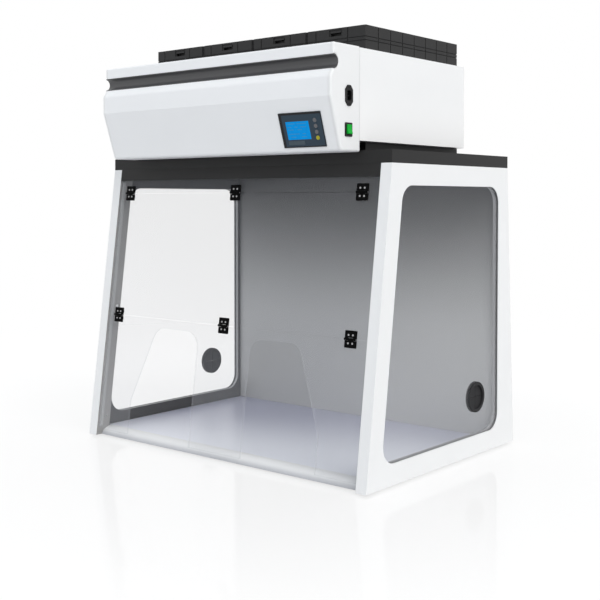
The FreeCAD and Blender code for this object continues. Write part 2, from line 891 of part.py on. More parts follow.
def cassette(column, tier):
    """One black filter cassette with ribbed sides, a latch recess in front and a grid on top."""
    x_low, x_high = cassette_x(column)
    z_low = housing_top_z + tier * filter_tier_height
    z_high = z_low + filter_tier_height
    outline = rectangle(x_low, x_high, filter_front_y, filter_back_y)
    body = prism_z(outline, z_low, z_high, [cassette_edge_radius] * 4)
    cuts = []
    width = x_high - x_low
    depth = filter_back_y - filter_front_y
    for index in range(1, cassette_cells):
        y = filter_front_y + index * depth / cassette_cells
        for edge in (x_low, x_high - cassette_groove_depth):
            cuts.append(box((edge, edge + cassette_groove_depth),
                            (y - cassette_groove_width / 2, y + cassette_groove_width / 2),
                            (z_low, z_high)))
    for share in front_ribs:
        x = x_low + share * width
        for edge in (filter_front_y, filter_back_y - cassette_groove_depth):
            cuts.append(box((x - cassette_groove_width / 2, x + cassette_groove_width / 2),
                            (edge, edge + cassette_groove_depth), (z_low, z_high)))
    joints = []
    if column > 0:
        joints.append(x_low)
    if column < filter_columns - 1:
        joints.append(x_high - cassette_joint_width)
    for x in joints:
        for edge in (filter_front_y, filter_back_y - cassette_joint_depth):
            cuts.append(box((x, x + cassette_joint_width), (edge, edge + cassette_joint_depth),
                            (z_low, z_high)))
    rim_z = z_low + cassette_rim if tier else z_high - cassette_rim - cassette_rim_groove
    line = prism_z(outline, rim_z, rim_z + cassette_rim_groove, [cassette_edge_radius] * 4)
    inner = rectangle(x_low + cassette_groove_depth, x_high - cassette_groove_depth,
                      filter_front_y + cassette_groove_depth, filter_back_y - cassette_groove_depth)
    cuts.append(line.cut(prism_z(inner, rim_z, rim_z + cassette_rim_groove)))
    latch_low = x_low + latch_start * width
    latch_high = x_low + latch_end * width
    latch = box((latch_low, latch_high), (filter_front_y, filter_front_y + latch_depth),
                (z_high - latch_height, z_high - latch_rail))
    tongue = box((latch_low + latch_rail, latch_high - latch_rail),
                 (filter_front_y, filter_front_y + latch_depth),
                 (z_high - latch_height, z_high - 2 * latch_rail))
    cuts.append(latch.cut(tongue))
    cuts.append(box((latch_low + latch_rail, latch_high - latch_rail),
                    (filter_front_y, filter_front_y + finger_depth),
                    (z_high - latch_height, z_high - latch_height + finger_height)))
    if tier:
        cell_x = (width - 2 * grid_border + grid_rib) / grid_columns
        cell_y = (depth - 2 * grid_border + grid_rib) / grid_rows
        for row in range(grid_rows):
            y = filter_front_y + grid_border + row * cell_y
            for line_index in range(grid_columns):
                x = x_low + grid_border + line_index * cell_x
                cuts.append(box((x, x + cell_x - grid_rib), (y, y + cell_y - grid_rib),
                                (z_high - grid_depth, z_high)))
    return body.cut(cuts)


def fascia_face(x):
    """The fascia's closed outline across X, with the half-round groove."""
    corners = [
        Vector(x, fascia_back_y, fascia_bottom_z),
        Vector(x, fascia_back_y, fascia_top_z),
        Vector(x, fascia_lip_y, fascia_top_z),
        Vector(x, fascia_lip_y, groove_z),
        Vector(x, fascia_lip_y, groove_z - groove_radius),
        Vector(x, fascia_nose_y, groove_z - groove_radius - fascia_shoulder),
        Vector(x, fascia_nose_y, fascia_crease_z),
        Vector(x, fascia_bottom_y, fascia_bottom_z),
    ]
    radii = [0, 0, fascia_top_radius, 0, 0, fascia_nose_radius, 0, fascia_bottom_radius]
    plain = rounded_face(corners, radii)
    groove = Part.Face(Part.Wire(Part.makeCircle(
        groove_radius, Vector(x, fascia_lip_y, groove_z), Vector(1, 0, 0))))
    return plain.cut(groove).Faces[0]


def offset_face(face, distance):
    """The face of an outline moved inwards by a wall."""
    return Part.Face(face.OuterWire.makeOffset2D(-distance))


def fascia_bosses():
    """Four bosses behind the panel that the display board is screwed to."""
    bosses = []
    for x, z in board_corners():
        bosses.append(on_panel(rod(boss_radius, (x, fascia_wall / 2, z), (0, 1, 0),
                                   board_depth - fascia_wall / 2)))
    return bosses


def panel_x():
    """The panel's left and right edges."""
    high = fascia_width / 2 - panel_inset
    return high - panel_width, high


def board_corners():
    """The display board's screw places on the slanted face."""
    low, high = panel_x()
    bottom = panel_bottom_run + boss_inset
    top = panel_bottom_run + panel_height - boss_inset
    return [(low + boss_inset, bottom), (high - boss_inset, bottom),
            (low + boss_inset, top), (high - boss_inset, top)]


def panel_opening():
    """The hole in the fascia behind the panel's display and keys."""
    low, high = panel_x()
    margin = 2 * boss_inset
    return box((low + margin, high - margin + boss_inset),
               (-panel_plate, 2 * fascia_wall),
               (panel_bottom_run + margin, panel_bottom_run + panel_height - panel_hole_margin))


def front_fascia():
    """The painted fascia shell between its two end caps."""
    half = fascia_width / 2 - cap_depth
    face = fascia_face(-half)
    shell = face.extrude(Vector(2 * half, 0, 0))
    room = offset_face(face, fascia_wall).extrude(Vector(2 * half, 0, 0))
    doorway = box((-half, half), (fascia_back_y - 2 * fascia_wall, fascia_back_y),
                  (fascia_bottom_z + fascia_wall, fascia_top_z - fascia_wall))
    shell = shell.cut(fuse([room, doorway]))
    shell = fuse([shell] + fascia_bosses())
    return shell.cut(on_panel(panel_opening()))


def fascia_cap():
    """The right end cap, rounded over to the front, top and bottom."""
    end = fascia_width / 2
    face = fascia_face(end - cap_depth)
    cap = face.extrude(Vector(cap_depth, 0, 0))
    rounded = [edge for edge in cap.Edges
               if edge.BoundBox.XMin > end - 0.01 and edge.BoundBox.YMin < fascia_back_y - 1]
    cap = cap.makeFillet(cap_edge_radius, rounded)
    room = offset_face(face, fascia_wall).extrude(Vector(cap_depth - cap_plate, 0, 0))
    cap = cap.cut(room)
    flange_x = end - cap_flange_inset
    flange = box((flange_x - cap_flange, flange_x),
                 (fascia_back_y - 3 * fascia_wall, housing_front_y),
                 (housing_bottom_z + cap_flange_inset, housing_top_z - cap_flange_inset))
    return fuse([cap, flange])


def inlet_outline():
    """The inlet flange's outline, wide in the middle and narrow at both screw ends."""
    centre_y = front_y + inlet_y
    centre_z = fascia_bottom_z + inlet_height
    half = inlet_flange_height / 2
    waist = inlet_body_height / 2
    wide = inlet_flange_width / 2
    narrow = inlet_end_width / 2
    return [(centre_y - narrow, centre_z - half), (centre_y + narrow, centre_z - half),
            (centre_y + wide, centre_z - waist), (centre_y + wide, centre_z + waist),
            (centre_y + narrow, centre_z + half), (centre_y - narrow, centre_z + half),
            (centre_y - wide, centre_z + waist), (centre_y - wide, centre_z - waist)]


def power_inlet():
    """The three-pin power inlet, screwed through its flange."""
    end = fascia_width / 2
    centre_y = front_y + inlet_y
    centre_z = fascia_bottom_z + inlet_height
    flange = prism_x(inlet_outline(), end, end + inlet_flange, [inlet_corner] * 8)
    half_y = inlet_body_width / 2
    half_z = inlet_body_height / 2
    body_x = end - inlet_body_depth
    body = prism_x(rectangle(centre_y - half_y, centre_y + half_y,
                             centre_z - half_z, centre_z + half_z), body_x, end)
    mouth_y = half_y - inlet_wall
    mouth_z = half_z - inlet_wall
    socket_x = end + inlet_flange - inlet_socket_depth
    bevel = mouth_y / 2
    mouth = [(-mouth_y, -mouth_z), (mouth_y - bevel, -mouth_z), (mouth_y, bevel - mouth_z),
             (mouth_y, mouth_z - bevel), (mouth_y - bevel, mouth_z), (-mouth_y, mouth_z)]
    socket = prism_x([(centre_y + y, centre_z + z) for y, z in mouth], socket_x,
                     end + inlet_flange)
    inlet = fuse([flange, body]).cut(socket)
    contacts = []
    for shift_y, shift_z in ((mouth_y / 3, 0), (-mouth_y / 3, contact_spread),
                             (-mouth_y / 3, -contact_spread)):
        contacts.append(box((socket_x, socket_x + contact_length),
                            (centre_y + shift_y - contact_width / 2,
                             centre_y + shift_y + contact_width / 2),
                            (centre_z + shift_z - contact_thickness / 2,
                             centre_z + shift_z + contact_thickness / 2)))
    inlet = fuse([inlet] + contacts)
    ends = []
    for side in (-1, 1):
        z = centre_z + side * (inlet_flange_height / 2 - inlet_end_width / 2)
        ends.append(rod(screw_radius, (end, centre_y, z), (1, 0, 0), inlet_flange))
    return inlet.cut(ends)


def switch_centre():
    """The middle of the rocker switch on the cap's outer face."""
    return front_y + switch_y, fascia_bottom_z + switch_height


def switch_bezel():
    """The switch's black frame and body."""
    end = fascia_width / 2
    centre_y, centre_z = switch_centre()
    frame = prism_x(rectangle(centre_y - bezel_width / 2, centre_y + bezel_width / 2,
                              centre_z - bezel_height / 2, centre_z + bezel_height / 2),
                    end, end + bezel_flange, [bezel_radius] * 4)
    body = box((end - bezel_body_depth, end),
               (centre_y - bezel_body_width / 2, centre_y + bezel_body_width / 2),
               (centre_z - bezel_body_height / 2, centre_z + bezel_body_height / 2))
    well_y = bezel_body_width / 2 - bezel_wall
    well_z = bezel_body_height / 2 - bezel_wall
    well = box((end - bezel_body_depth + 2 * bezel_wall, end + bezel_flange),
               (centre_y - well_y, centre_y + well_y), (centre_z - well_z, centre_z + well_z))
    bezel = fuse([frame, body]).cut(well)
    half_pivot = well_y + trunnion_length
    pivot = rod(trunnion_radius + trunnion_fit, (end, centre_y - half_pivot, centre_z), (0, 1, 0),
                2 * half_pivot)
    return bezel.cut(pivot)


def switch_rocker():
    """The green rocker on its trunnions, resting with its lower end out."""
    end = fascia_width / 2
    centre_y, centre_z = switch_centre()
    half_y = bezel_body_width / 2 - bezel_wall - rocker_gap
    reach = bezel_body_height / 2 - bezel_wall - 2 * rocker_gap
    front = end + bezel_flange + rocker_reach
    dish = math.tan(math.radians(rocker_tilt)) * reach
    waist = reach * rocker_waist
    outline = [(end - rocker_depth, centre_z - waist), (end - rocker_depth, centre_z + waist),
               (end, centre_z + reach), (front, centre_z + reach),
               (front - dish, centre_z), (front, centre_z - reach), (end, centre_z - reach)]
    corners = [Vector(x, centre_y - half_y, z) for x, z in outline]
    block = rounded_face(corners, [0] * len(corners)).extrude(Vector(0, 2 * half_y, 0))
    half_pivot = half_y + rocker_gap + trunnion_length - trunnion_end_gap
    trunnion = rod(trunnion_radius, (end, centre_y - half_pivot, centre_z), (0, 1, 0),
                   2 * half_pivot)
    rocker = fuse([block, trunnion])
    rocker.rotate(Vector(end, centre_y, centre_z), Vector(0, 1, 0), -rocker_tilt)
    return rocker


def cap_holes():
    """The holes in the right cap for the inlet and the switch."""
    end = fascia_width / 2
    centre_y = front_y + inlet_y
    centre_z = fascia_bottom_z + inlet_height
    half_y = inlet_body_width / 2 + inlet_fit
    half_z = inlet_body_height / 2 + inlet_fit
    inlet = box((end - cap_plate, end), (centre_y - half_y, centre_y + half_y),
                (centre_z - half_z, centre_z + half_z))
    switch_y_mid, switch_z_mid = switch_centre()
    half_y = bezel_body_width / 2 + inlet_fit
    half_z = bezel_body_height / 2 + inlet_fit
    switch = box((end - cap_plate, end), (switch_y_mid - half_y, switch_y_mid + half_y),
                 (switch_z_mid - half_z, switch_z_mid + half_z))
    return [inlet, switch]


def groove_trim():
    """The dark half-round insert along the groove."""
    half = fascia_width / 2
    centre = Vector(-half, fascia_lip_y, groove_z)
    radius = groove_radius - trim_fit
    outer = Part.makeCylinder(radius, 2 * half, centre, Vector(1, 0, 0))
    inner = Part.makeCylinder(radius - trim_thickness, 2 * half, centre, Vector(1, 0, 0))
    front = box((-half, half), (fascia_lip_y - groove_radius, fascia_lip_y + trim_thickness),
                (groove_z - groove_radius, groove_z + groove_radius))
    return outer.cut(inner).cut(front)


def key_positions():
    """The keys' places on the slanted face, bottom to top."""
    x = panel_x()[1] - key_inset
    return [(x, panel_bottom_run + run) for run in key_runs]


def display_corner():
    """The lower left corner of the display on the slanted face."""
    return panel_x()[0] + display_left_inset, panel_bottom_run + display_bottom_inset


def control_panel():
    """The slate front plate with its display opening and key holes."""
    low, high = panel_x()
    plate = prism_y(rectangle(low, high, panel_bottom_run, panel_bottom_run + panel_height),
                    -panel_plate, 0, [panel_radius] * 4)
    x, z = display_corner()
    step = display_step
    plate = plate.cut(box((x, x + display_width), (-panel_plate, -panel_plate + display_glass),
                          (z, z + display_height)))
    plate = plate.cut(box((x + step, x + display_width - step), (-panel_plate, 0),
                          (z + step, z + display_height - step)))
    for x, z in key_positions():
        plate = plate.cut(rod(key_radius + key_fit, (x, -panel_plate, z), (0, 1, 0), panel_plate))
    return on_panel(plate)


def display_window():
    """The display's clear front, set into the plate."""
    x, z = display_corner()
    return on_panel(box((x, x + display_width), (-panel_plate, -panel_plate + display_glass),
                        (z, z + display_height)))


def panel_key(position):
    """One round key with the flange that keeps it in the panel and its stem."""
    x, z = position
    head = rod(key_radius, (x, -panel_plate - key_proud, z), (0, 1, 0),
               panel_plate + key_proud + key_gap)
    rim = max(head.Edges, key=lambda edge: -edge.BoundBox.YMax if edge.Closed else -1e9)
    head = head.makeFillet(key_proud / 2, [rim])
    flange = rod(key_flange_radius, (x, key_gap, z), (0, 1, 0), key_flange)
    stem_end = board_depth - switch_block - key_travel - key_gap
    stem = rod(key_radius / 2, (x, key_gap + key_flange, z), (0, 1, 0),
               stem_end - key_gap - key_flange)
    return on_panel(fuse([head, flange, stem]))


def display_board():
    """The circuit board on the fascia's bosses, with the display and the key switches."""
    low, high = panel_x()
    board = box((low + boss_inset / 2, high - boss_inset / 2),
                (board_depth, board_depth + board_thickness),
                (panel_bottom_run + boss_inset / 2,
                 panel_bottom_run + panel_height - boss_inset / 2))
    x, z = display_corner()
    display = box((x, x + display_width), (fascia_wall, board_depth),
                  (z + display_step, z + display_height - display_step))
    blocks = []
    half = switch_block_size / 2
    for key_x, key_z in key_positions():
        blocks.append(box((key_x - half, key_x + half), (board_depth - switch_block, board_depth),
                          (key_z - half, key_z + half)))
    return on_panel(fuse([board, display] + blocks))


def fan_deck():
    """The plate on the housing floor that carries both fans."""
    half = housing_width / 2 - housing_wall
    margin = housing_radius
    plate = box((-half, half), (housing_front_y + housing_wall, housing_back_y - margin),
                (deck_top_z - deck_sheet, deck_top_z))
    for x in fan_positions():
        plate = plate.cut(rod(throat_radius, (x, fan_y, deck_top_z - deck_sheet), (0, 0, 1),
                              deck_sheet))
    return plate


def fan_positions():
    """Where the two fans stand across the hood."""
    fan_x = housing_width / 2 - fan_inset
    return -fan_x, fan_x


def inlet_ring(x):
    """One flared ring that leads the air into its impeller."""
    outer = throat_radius + throat_flange
    wall = throat_wall
    low = deck_top_z
    profile = [Vector(x + throat_radius, fan_y, low), Vector(x + outer, fan_y, low),
               Vector(x + outer, fan_y, low + wall),
               Vector(x + throat_radius + wall, fan_y, low + 2 * wall),
               Vector(x + throat_radius + wall, fan_y, low + throat_height),
               Vector(x + throat_radius, fan_y, low + throat_height)]
    face = rounded_face(profile, [0] * len(profile))
    return face.revolve(Vector(x, fan_y, 0), Vector(0, 0, 1), 360)


def impeller(x):
    """One backward-curved impeller: hub, back plate, blades and shroud."""
    low = deck_top_z + impeller_floor_gap
    high = low + impeller_height
    mouth = throat_radius + throat_wall + impeller_gap
    shroud_profile = [Vector(x + mouth, fan_y, low), Vector(x + mouth + impeller_sheet, fan_y, low),
                      Vector(x + impeller_radius, fan_y, low + shroud_rise - impeller_sheet),
                      Vector(x + impeller_radius, fan_y, low + shroud_rise),
                      Vector(x + mouth, fan_y, low + impeller_sheet)]
    shroud = rounded_face(shroud_profile, [0] * 5).revolve(
        Vector(x, fan_y, 0), Vector(0, 0, 1), 360)
    plate = rod(impeller_radius, (x, fan_y, high - impeller_sheet), (0, 0, 1), impeller_sheet)
    hub = rod(hub_radius, (x, fan_y, low + shroud_rise), (0, 0, 1),
              high + motor_gap / 2 - low - shroud_rise)
    half_sweep = math.radians(blade_sweep) / 2
    sheet = impeller_sheet / 2
    tip_radius = impeller_radius - sheet
    start = Vector(math.cos(half_sweep), -math.sin(half_sweep), 0) * blade_inner_radius
    end = Vector(math.cos(half_sweep), math.sin(half_sweep), 0) * tip_radius
    along = (end - start).normalize()
    across = Vector(-along.y, along.x, 0)
    bulge = (end - start).Length * blade_bulge
    middle = (start + end) * 0.5 - across * bulge
    offset = across * sheet
    blade_edges = [
        Part.Arc(start - offset, middle - offset, end - offset).toShape(),
        Part.makeLine(end - offset, end + offset),
        Part.Arc(end + offset, middle + offset, start + offset).toShape(),
        Part.makeLine(start + offset, start - offset),
    ]
    blade_bottom = low + sheet
    blade_height = high - sheet - blade_bottom
    blade = Part.Face(Part.Wire(blade_edges)).extrude(Vector(0, 0, blade_height))
    blade.translate(Vector(x, fan_y, blade_bottom))
    envelope_profile = [Vector(x, fan_y, low), Vector(x + mouth + impeller_sheet, fan_y, low),
                        Vector(x + impeller_radius, fan_y, low + shroud_rise - impeller_sheet),
                        Vector(x + impeller_radius, fan_y, high), Vector(x, fan_y, high)]
    envelope = rounded_face(envelope_profile, [0] * 5).revolve(
        Vector(x, fan_y, 0), Vector(0, 0, 1), 360)
    blade = blade.common(envelope)
    blades = []
    for index in range(blade_count):
        turned = blade.copy()
        turned.rotate(Vector(x, fan_y, 0), Vector(0, 0, 1), index * 360 / blade_count)
        blades.append(turned)
    wheel = fuse([plate, hub, shroud] + blades)
    bore = rod(shaft_radius + shaft_fit, (x, fan_y, low), (0, 0, 1), impeller_height + motor_gap)
    return wheel.cut(bore)


def motor_base_z():
    """The underside of the motors, above the impellers."""
    return deck_top_z + impeller_floor_gap + impeller_height + motor_gap


def fan_motor(x):
    """One motor body with the shaft that its impeller runs on."""
    bottom = motor_base_z()
    body = rod(motor_radius, (x, fan_y, bottom), (0, 0, 1), motor_height)
    body = body.makeFillet(motor_gap / 2, [edge for edge in body.Edges
                                           if edge.Closed and edge.BoundBox.ZMax < bottom + 0.01])
    shaft_low = deck_top_z + impeller_floor_gap + shroud_rise
    shaft = rod(shaft_radius, (x, fan_y, shaft_low), (0, 0, 1), bottom - shaft_low)
    return fuse([body, shaft])


def motor_bridge(x):
    """One folded bridge over the impeller that the motor hangs from."""
    reach = impeller_radius + bridge_clearance
    top = motor_base_z() + motor_height
    y_low = fan_y - bridge_width / 2
    y_high = fan_y + bridge_width / 2
    outline = [(x - reach - bridge_foot, deck_top_z), (x - reach, deck_top_z), (x - reach, top),
               (x + reach, top), (x + reach, deck_top_z), (x + reach + bridge_foot, deck_top_z),
               (x + reach + bridge_foot, deck_top_z + bridge_sheet),
               (x + reach + bridge_sheet, deck_top_z + bridge_sheet),
               (x + reach + bridge_sheet, top + bridge_sheet),
               (x - reach - bridge_sheet, top + bridge_sheet),
               (x - reach - bridge_sheet, deck_top_z + bridge_sheet),
               (x - reach - bridge_foot, deck_top_z + bridge_sheet)]
    return prism_y(outline, y_low, y_high)


def power_supply():
    """The closed power supply on the front of the fan box."""
    low = housing_bottom_z + supply_bottom
    return box((supply_x - supply_length / 2, supply_x + supply_length / 2),
               (housing_front_y - supply_depth, housing_front_y), (low, low + supply_height))


def build():
    """Makes every piece and writes it."""
    os.makedirs("parts", exist_ok=True)
    sides = {"right": lambda shape: shape, "left": mirrored}
    frame, liner, window, port = side_frame(), side_liner(), side_window(), cable_port()
    for side, place in sides.items():
        write("side_frame_" + side, place(frame))
        write("side_liner_" + side, place(liner))
        write("side_window_" + side, place(window))
        write("cable_port_" + side, place(port))
    seal = window_seal()
    write("window_seals", Part.makeCompound([seal, mirrored(seal)]))
    write("base_tray", base_tray())
    write("worktop", worktop())
    write("foot_pads", foot_pads())
    write("back_liner", back_liner())
    write("rear_cover", rear_cover())
    write("rear_posts", rear_posts())
    write("top_frame", top_frame())
    write("front_apron", front_apron())
    write("ceiling_grille", ceiling_grille())
    write("prefilter_panel", prefilter_panel())
    write("head_collar", head_collar())
    write("housing_shell", housing_shell())
    write("fan_deck", fan_deck())
    write("inlet_rings", Part.makeCompound([inlet_ring(x) for x in fan_positions()]))
    write("motor_bridges", Part.makeCompound([motor_bridge(x) for x in fan_positions()]))
    write("fan_motors", Part.makeCompound([fan_motor(x) for x in fan_positions()]))
    for side, x in zip(("left", "right"), fan_positions()):
        write("impeller_" + side, impeller(x))
    write("front_fascia", front_fascia())
    cap = fascia_cap()
    write("fascia_end_left", mirrored(cap))
    write("fascia_end_right", cap.cut(cap_holes()))
    write("groove_trim", groove_trim())
    write("control_panel", control_panel())
    write("display_window", display_window())
    for number, position in enumerate(key_positions(), 1):
        write("panel_key_%d" % number, panel_key(position))
    write("display_board", display_board())
    write("power_supply", power_supply())
    write("power_inlet", power_inlet())
    write("switch_bezel", switch_bezel())
    write("switch_rocker", switch_rocker())
    for column in range(filter_columns):
        write("filter_upper_%d" % (column + 1), cassette(column, 1))
    write("filter_lower_tier",
          Part.makeCompound([cassette(column, 0) for column in range(filter_columns)]))
    write("fixed_strip", drilled(fixed_strip(), hinge_top_run, True))
    upper = drilled(sash_upper(), hinge_top_run, False)
    write("sash_upper", drilled(upper, hinge_middle_run, True))
    write("sash_lower", drilled(sash_lower(), hinge_middle_run, False))
    outer_leaf, inner_leaf = hinge_leaf(True), downward(hinge_leaf(False))
    screws_up, screws_down = hinge_screws(True), hinge_screws(False)
    write("hinge_leaves_fixed", Part.makeCompound(hinge_row([outer_leaf], hinge_top_run)))
    write("hinge_leaves_upper_sash", Part.makeCompound(
        hinge_row([inner_leaf], hinge_top_run) + hinge_row([outer_leaf], hinge_middle_run)))
    write("hinge_leaves_lower_sash", Part.makeCompound(hinge_row([inner_leaf], hinge_middle_run)))
    write("hinge_pins_top", Part.makeCompound(hinge_row([hinge_pin()], hinge_top_run)))
    write("hinge_pins_middle", Part.makeCompound(hinge_row([hinge_pin()], hinge_middle_run)))
    write("hinge_screws_fixed", Part.makeCompound(hinge_row(screws_up, hinge_top_run)))
    write("hinge_screws_upper_sash", Part.makeCompound(
        hinge_row(screws_down, hinge_top_run) + hinge_row(screws_up, hinge_middle_run)))
    write("hinge_screws_lower_sash", Part.makeCompound(hinge_row(screws_down, hinge_middle_run)))
    write("rest_strips", rest_strips())
    write("stile_plugs", stile_plugs())


build()
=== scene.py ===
import math
import bmesh
import bpy
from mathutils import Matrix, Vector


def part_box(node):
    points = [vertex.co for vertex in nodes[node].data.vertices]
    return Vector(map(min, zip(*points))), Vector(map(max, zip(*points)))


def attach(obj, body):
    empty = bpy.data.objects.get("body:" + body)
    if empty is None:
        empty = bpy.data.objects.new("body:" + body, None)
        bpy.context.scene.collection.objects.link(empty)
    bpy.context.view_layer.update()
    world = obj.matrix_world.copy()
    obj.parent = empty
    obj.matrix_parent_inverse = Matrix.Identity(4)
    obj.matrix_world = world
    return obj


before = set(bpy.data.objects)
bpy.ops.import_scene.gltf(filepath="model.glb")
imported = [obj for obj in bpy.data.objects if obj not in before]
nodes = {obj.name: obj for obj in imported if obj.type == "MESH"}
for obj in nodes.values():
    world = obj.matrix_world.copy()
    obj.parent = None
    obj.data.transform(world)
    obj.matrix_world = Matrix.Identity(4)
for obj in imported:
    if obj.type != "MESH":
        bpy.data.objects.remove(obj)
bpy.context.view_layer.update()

# The hood stands on a plain white floor. The floor keeps the hood's soft shadow and a faint
# mirror image near it, and fades to white further out.
floor_half = 7.0
floor_bounce = 0.76
floor_seen = 0.20
floor_glow = 0.83
floor_mirror = 0.13
floor_polish = 0.08
mirror_reach = 0.55
mirror_fade = 0.95
shadow_reach = 1.3
shadow_fade = 1.6


def deselect_all():
    """Nothing stays selected from the piece before."""
    bpy.ops.object.select_all(action="DESELECT")


def seen_rays(tree):
    """1 for the rays that look at the room by eye, in a mirror or through glass, else 0."""
    path = tree.nodes.new("ShaderNodeLightPath")
    total = path.outputs["Is Camera Ray"]
    for name in ("Is Glossy Ray", "Is Transmission Ray"):
        add = tree.nodes.new("ShaderNodeMath")
        add.operation = "MAXIMUM"
        tree.links.new(total, add.inputs[0])
        tree.links.new(path.outputs[name], add.inputs[1])
        total = add.outputs[0]
    return total


deselect_all()
bpy.ops.mesh.primitive_plane_add(size=2 * floor_half)
floor = bpy.context.object
floor.name = "floor"
floor_finish = bpy.data.materials.new("floor_finish")
floor_finish.use_nodes = True
tree = floor_finish.node_tree
tree.nodes.clear()
place = tree.nodes.new("ShaderNodeTexCoord")
distance = tree.nodes.new("ShaderNodeVectorMath")
distance.operation = "LENGTH"
tree.links.new(place.outputs["Object"], distance.inputs[0])
far = tree.nodes.new("ShaderNodeMapRange")
far.interpolation_type = "SMOOTHSTEP"
far.inputs["From Min"].default_value = shadow_reach
far.inputs["From Max"].default_value = shadow_reach + shadow_fade
tree.links.new(distance.outputs["Value"], far.inputs["Value"])
seen = seen_rays(tree)
fade = tree.nodes.new("ShaderNodeMath")
fade.operation = "MULTIPLY"
tree.links.new(far.outputs["Result"], fade.inputs[0])
tree.links.new(seen, fade.inputs[1])
shade = tree.nodes.new("ShaderNodeMix")
shade.data_type = "RGBA"
shade.inputs["A"].default_value = (floor_bounce, floor_bounce, floor_bounce, 1)
shade.inputs["B"].default_value = (floor_seen, floor_seen, floor_seen, 1)
tree.links.new(seen, shade.inputs["Factor"])
matt = tree.nodes.new("ShaderNodeBsdfDiffuse")
tree.links.new(shade.outputs["Result"], matt.inputs["Color"])
glow = tree.nodes.new("ShaderNodeEmission")
glow_strength = tree.nodes.new("ShaderNodeMath")
glow_strength.operation = "MULTIPLY"
glow_strength.inputs[1].default_value = floor_glow
tree.links.new(seen, glow_strength.inputs[0])
tree.links.new(glow_strength.outputs[0], glow.inputs["Strength"])
lit = tree.nodes.new("ShaderNodeAddShader")
tree.links.new(matt.outputs[0], lit.inputs[0])
tree.links.new(glow.outputs[0], lit.inputs[1])
polish = tree.nodes.new("ShaderNodeBsdfGlossy")
polish.inputs["Roughness"].default_value = floor_polish
mirror_share = tree.nodes.new("ShaderNodeMapRange")
mirror_share.interpolation_type = "SMOOTHSTEP"
mirror_share.inputs["From Min"].default_value = mirror_reach
mirror_share.inputs["From Max"].default_value = mirror_reach + mirror_fade
mirror_share.inputs["To Min"].default_value = floor_mirror
mirror_share.inputs["To Max"].default_value = 0
tree.links.new(distance.outputs["Value"], mirror_share.inputs["Value"])
near = tree.nodes.new("ShaderNodeMixShader")
tree.links.new(mirror_share.outputs["Result"], near.inputs["Fac"])
tree.links.new(lit.outputs[0], near.inputs[1])
tree.links.new(polish.outputs[0], near.inputs[2])
white = tree.nodes.new("ShaderNodeEmission")
white.inputs["Color"].default_value = (1, 1, 1, 1)
whole = tree.nodes.new("ShaderNodeMixShader")
tree.links.new(fade.outputs[0], whole.inputs["Fac"])
tree.links.new(near.outputs[0], whole.inputs[1])
tree.links.new(white.outputs[0], whole.inputs[2])
output = tree.nodes.new("ShaderNodeOutputMaterial")
tree.links.new(whole.outputs[0], output.inputs["Surface"])
floor.data.materials.append(floor_finish)

# The room round the hood is plain white to the eye, in a mirror and through glass. As a lamp
# it is dimmer and a little cool.
room_lamp = 0.62
room_tint = (0.955, 0.978, 1.0)
room = bpy.data.worlds.new("white_room")
bpy.context.scene.world = room
room.use_nodes = True
tree = room.node_tree
background = tree.nodes["Background"]
seen = seen_rays(tree)
tint = tree.nodes.new("ShaderNodeMix")
tint.data_type = "RGBA"
tint.inputs["A"].default_value = (*room_tint, 1)
tint.inputs["B"].default_value = (1, 1, 1, 1)
tree.links.new(seen, tint.inputs["Factor"])
tree.links.new(tint.outputs["Result"], background.inputs["Color"])
strength = tree.nodes.new("ShaderNodeMapRange")
strength.inputs["To Min"].default_value = room_lamp
strength.inputs["To Max"].default_value = 1.0
tree.links.new(seen, strength.inputs["Value"])
tree.links.new(strength.outputs["Result"], background.inputs["Strength"])

# Two wide, soft lights stand far away: a strong, warm one on the right, and a weak, cool one
# in front. Both shine from above.


def soft_sun(name, towards, strength, angle, colour):
    """A wide, soft light from far away; towards points from the hood to the light."""
    lamp = bpy.data.lights.new(name, "SUN")
    lamp.energy = strength
    lamp.angle = math.radians(angle)
    lamp.color = colour
    lamp_object = bpy.data.objects.new(name, lamp)
    bpy.context.scene.collection.objects.link(lamp_object)
    turn = math.atan2(towards[0], -towards[1])
    tilt = math.atan2(math.hypot(towards[0], towards[1]), towards[2])
    lamp_object.rotation_euler = (tilt, 0, turn)


soft_sun("right_light", towards=(0.78, -0.28, 0.56), strength=1.52, angle=50,
         colour=(1.0, 0.985, 0.955))
soft_sun("front_light", towards=(-0.15, -0.75, 0.64), strength=0.42, angle=60,
         colour=(0.86, 0.93, 1.0))

# The camera stands to the right of the hood's front, at the height of the upper sash. It
# looks almost level.
photo_camera = bpy.data.cameras.new("photo_camera")
photo_camera.lens = 61.97
photo_camera.sensor_width = 36
photo_camera.shift_y = -0.1167
photo_view = bpy.data.objects.new("photo_view", photo_camera)
bpy.context.scene.collection.objects.link(photo_view)
photo_view.location = (1.8959, -2.2654, 0.6882)
photo_view.rotation_euler = (math.radians(88.34), 0, math.radians(39.7))
bpy.context.scene.camera = photo_view
bpy.context.scene.view_settings.view_transform = "Standard"

# The base tray and the side frames are folded steel sheet with a smooth satin powder paint
# in white. The paint rounds every edge a little and has a very fine orange peel. The tray is
# painted greyer near its foot, as painted shade, and the inner faces of the front stiles are
# grey.
white_colour = (0.85, 0.856, 0.866)
satin = 0.42
tray_foot_painted_shade = (0.50, 0.51, 0.54)
tray_foot_top = 0.021
tray_foot_full = 0.007
stile_grey = (0.325, 0.322, 0.319)


def new_finish(name):
    """A new material, with its node tree and its shader."""
    material = bpy.data.materials.new(name)
    material.use_nodes = True
    return material, material.node_tree, material.node_tree.nodes["Principled BSDF"]


